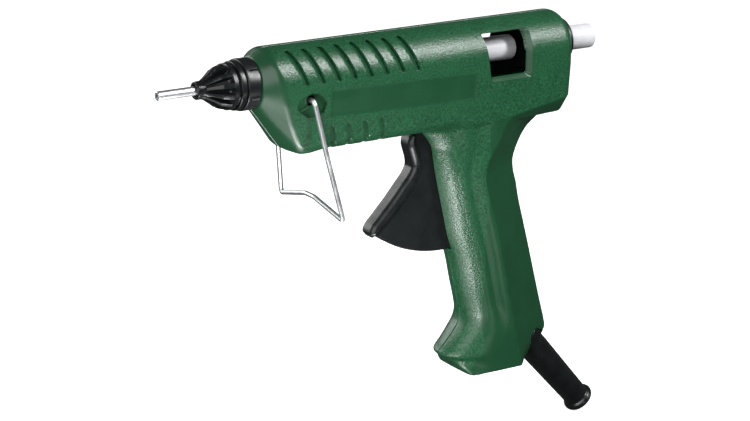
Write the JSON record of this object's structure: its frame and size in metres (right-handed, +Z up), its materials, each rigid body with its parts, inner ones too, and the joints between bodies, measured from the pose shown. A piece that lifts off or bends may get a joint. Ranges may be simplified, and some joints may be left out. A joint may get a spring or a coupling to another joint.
{
  "type": "hot glue gun",
  "caption": "Pistol-grip hot glue gun in two screwed shells, with needle nozzle, ribbed heat-shield cap, trigger feed, window, glue sticks and a swinging wire stand.",
  "frame": {"origin": "bottom centre of the bounding box", "axes": "+X from the nozzle towards the rear along the barrel, +Y from the left shell to the right shell, +Z up, barrel level"},
  "size_m": [0.2324, 0.0538, 0.1986],
  "materials": {
    "left_shell": "fine spark-eroded grain",
    "right_shell": "fine spark-eroded grain",
    "nozzle_aluminium": "turned, satin",
    "cap_silicone": "moulded, satin",
    "collar_plastic": "moulded, semi-gloss",
    "cast_aluminium": "as cast",
    "ptc_ceramic": "sintered ceramic",
    "contact_brass": "stamped",
    "spring_steel": "drawn wire",
    "silicone": "moulded silicone",
    "inner_plastic": "moulded",
    "steel": "machined",
    "zinc_plated_steel": "zinc plated",
    "trigger_plastic": "moulded, semi-gloss",
    "stand_wire": "bright nickel plated wire",
    "glue": "milky hot-melt glue",
    "ceramic": "steatite",
    "lead_brown": "insulated wire",
    "lead_blue": "insulated wire",
    "clamp_plastic": "moulded",
    "sleeve_rubber": "moulded rubber"
  },
  "bodies": {
    "housing": {"housing_left": "left_shell", "housing_right": "right_shell", "nozzle": "nozzle_aluminium", "nozzle_cap": "cap_silicone", "front_collar": "collar_plastic", "melt_chamber": "cast_aluminium", "ptc_element": "ptc_ceramic", "contact_plate_upper": "contact_brass", "contact_plate_lower": "contact_brass", "heater_clamp": "spring_steel", "inlet_seal": "silicone", "seal_retainer": "inner_plastic", "return_spring": "spring_steel", "trigger_pin": "steel", "rear_bush": "collar_plastic", "terminal_block": "ceramic", "lead_live": "lead_brown", "lead_neutral": "lead_blue", "cord_clamp": "clamp_plastic", "cable_sleeve": "sleeve_rubber", "housing_screw_1": "zinc_plated_steel", "housing_screw_2": "zinc_plated_steel", "housing_screw_3": "zinc_plated_steel", "housing_screw_4": "zinc_plated_steel", "housing_screw_5": "zinc_plated_steel", "clamp_screw_1": "zinc_plated_steel", "clamp_screw_2": "zinc_plated_steel"},
    "trigger": {"trigger": "trigger_plastic"},
    "carriage": {"feed_carriage": "inner_plastic", "jaw_pin": "steel"},
    "jaw": {"clamp_jaw": "steel"},
    "front_stick": {"glue_stick_front": "glue"},
    "rear_stick": {"glue_stick_rear": "glue"},
    "stand": {"wire_stand": "stand_wire"}
  },
  "joints": [
    {"name": "trigger_pull", "type": "hinge", "parent": "housing", "child": "trigger", "pos_m": [0.02727, 0, 0.15394], "axis": [0, -1, 0], "range_deg": [0, 20], "stiffness_Nm_per_rad": 0.9, "springref_deg": -6.88},
    {"name": "feed_slide", "type": "slide", "parent": "housing", "child": "carriage", "axis": [-1, 0, 0], "range_m": [0, 0.0066], "deforming": ["return_spring"]},
    {"name": "jaw_bite", "type": "hinge", "parent": "carriage", "child": "jaw", "pos_m": [0.02207, 0, 0.17244], "axis": [0, -1, 0], "range_deg": [0, 4]},
    {"name": "front_stick_feed", "type": "slide", "parent": "housing", "child": "front_stick", "axis": [-1, 0, 0], "range_m": [0, 0.0066]},
    {"name": "rear_stick_slide", "type": "slide", "parent": "housing", "child": "rear_stick", "axis": [1, 0, 0], "range_m": [-0.0114, 0.02]},
    {"name": "stand_swing", "type": "hinge", "parent": "housing", "child": "stand", "pos_m": [-0.05043, 0, 0.17684], "axis": [0, 1, 0], "range_deg": [-35, 60]}
  ],
  "couplings": [
    {"joint": "feed_slide", "follows": "trigger_pull", "m_per_rad": 0.0189},
    {"joint": "jaw_bite", "follows": "trigger_pull", "ratio": 0.2},
    {"joint": "front_stick_feed", "follows": "trigger_pull", "m_per_rad": 0.0189}
  ]
}
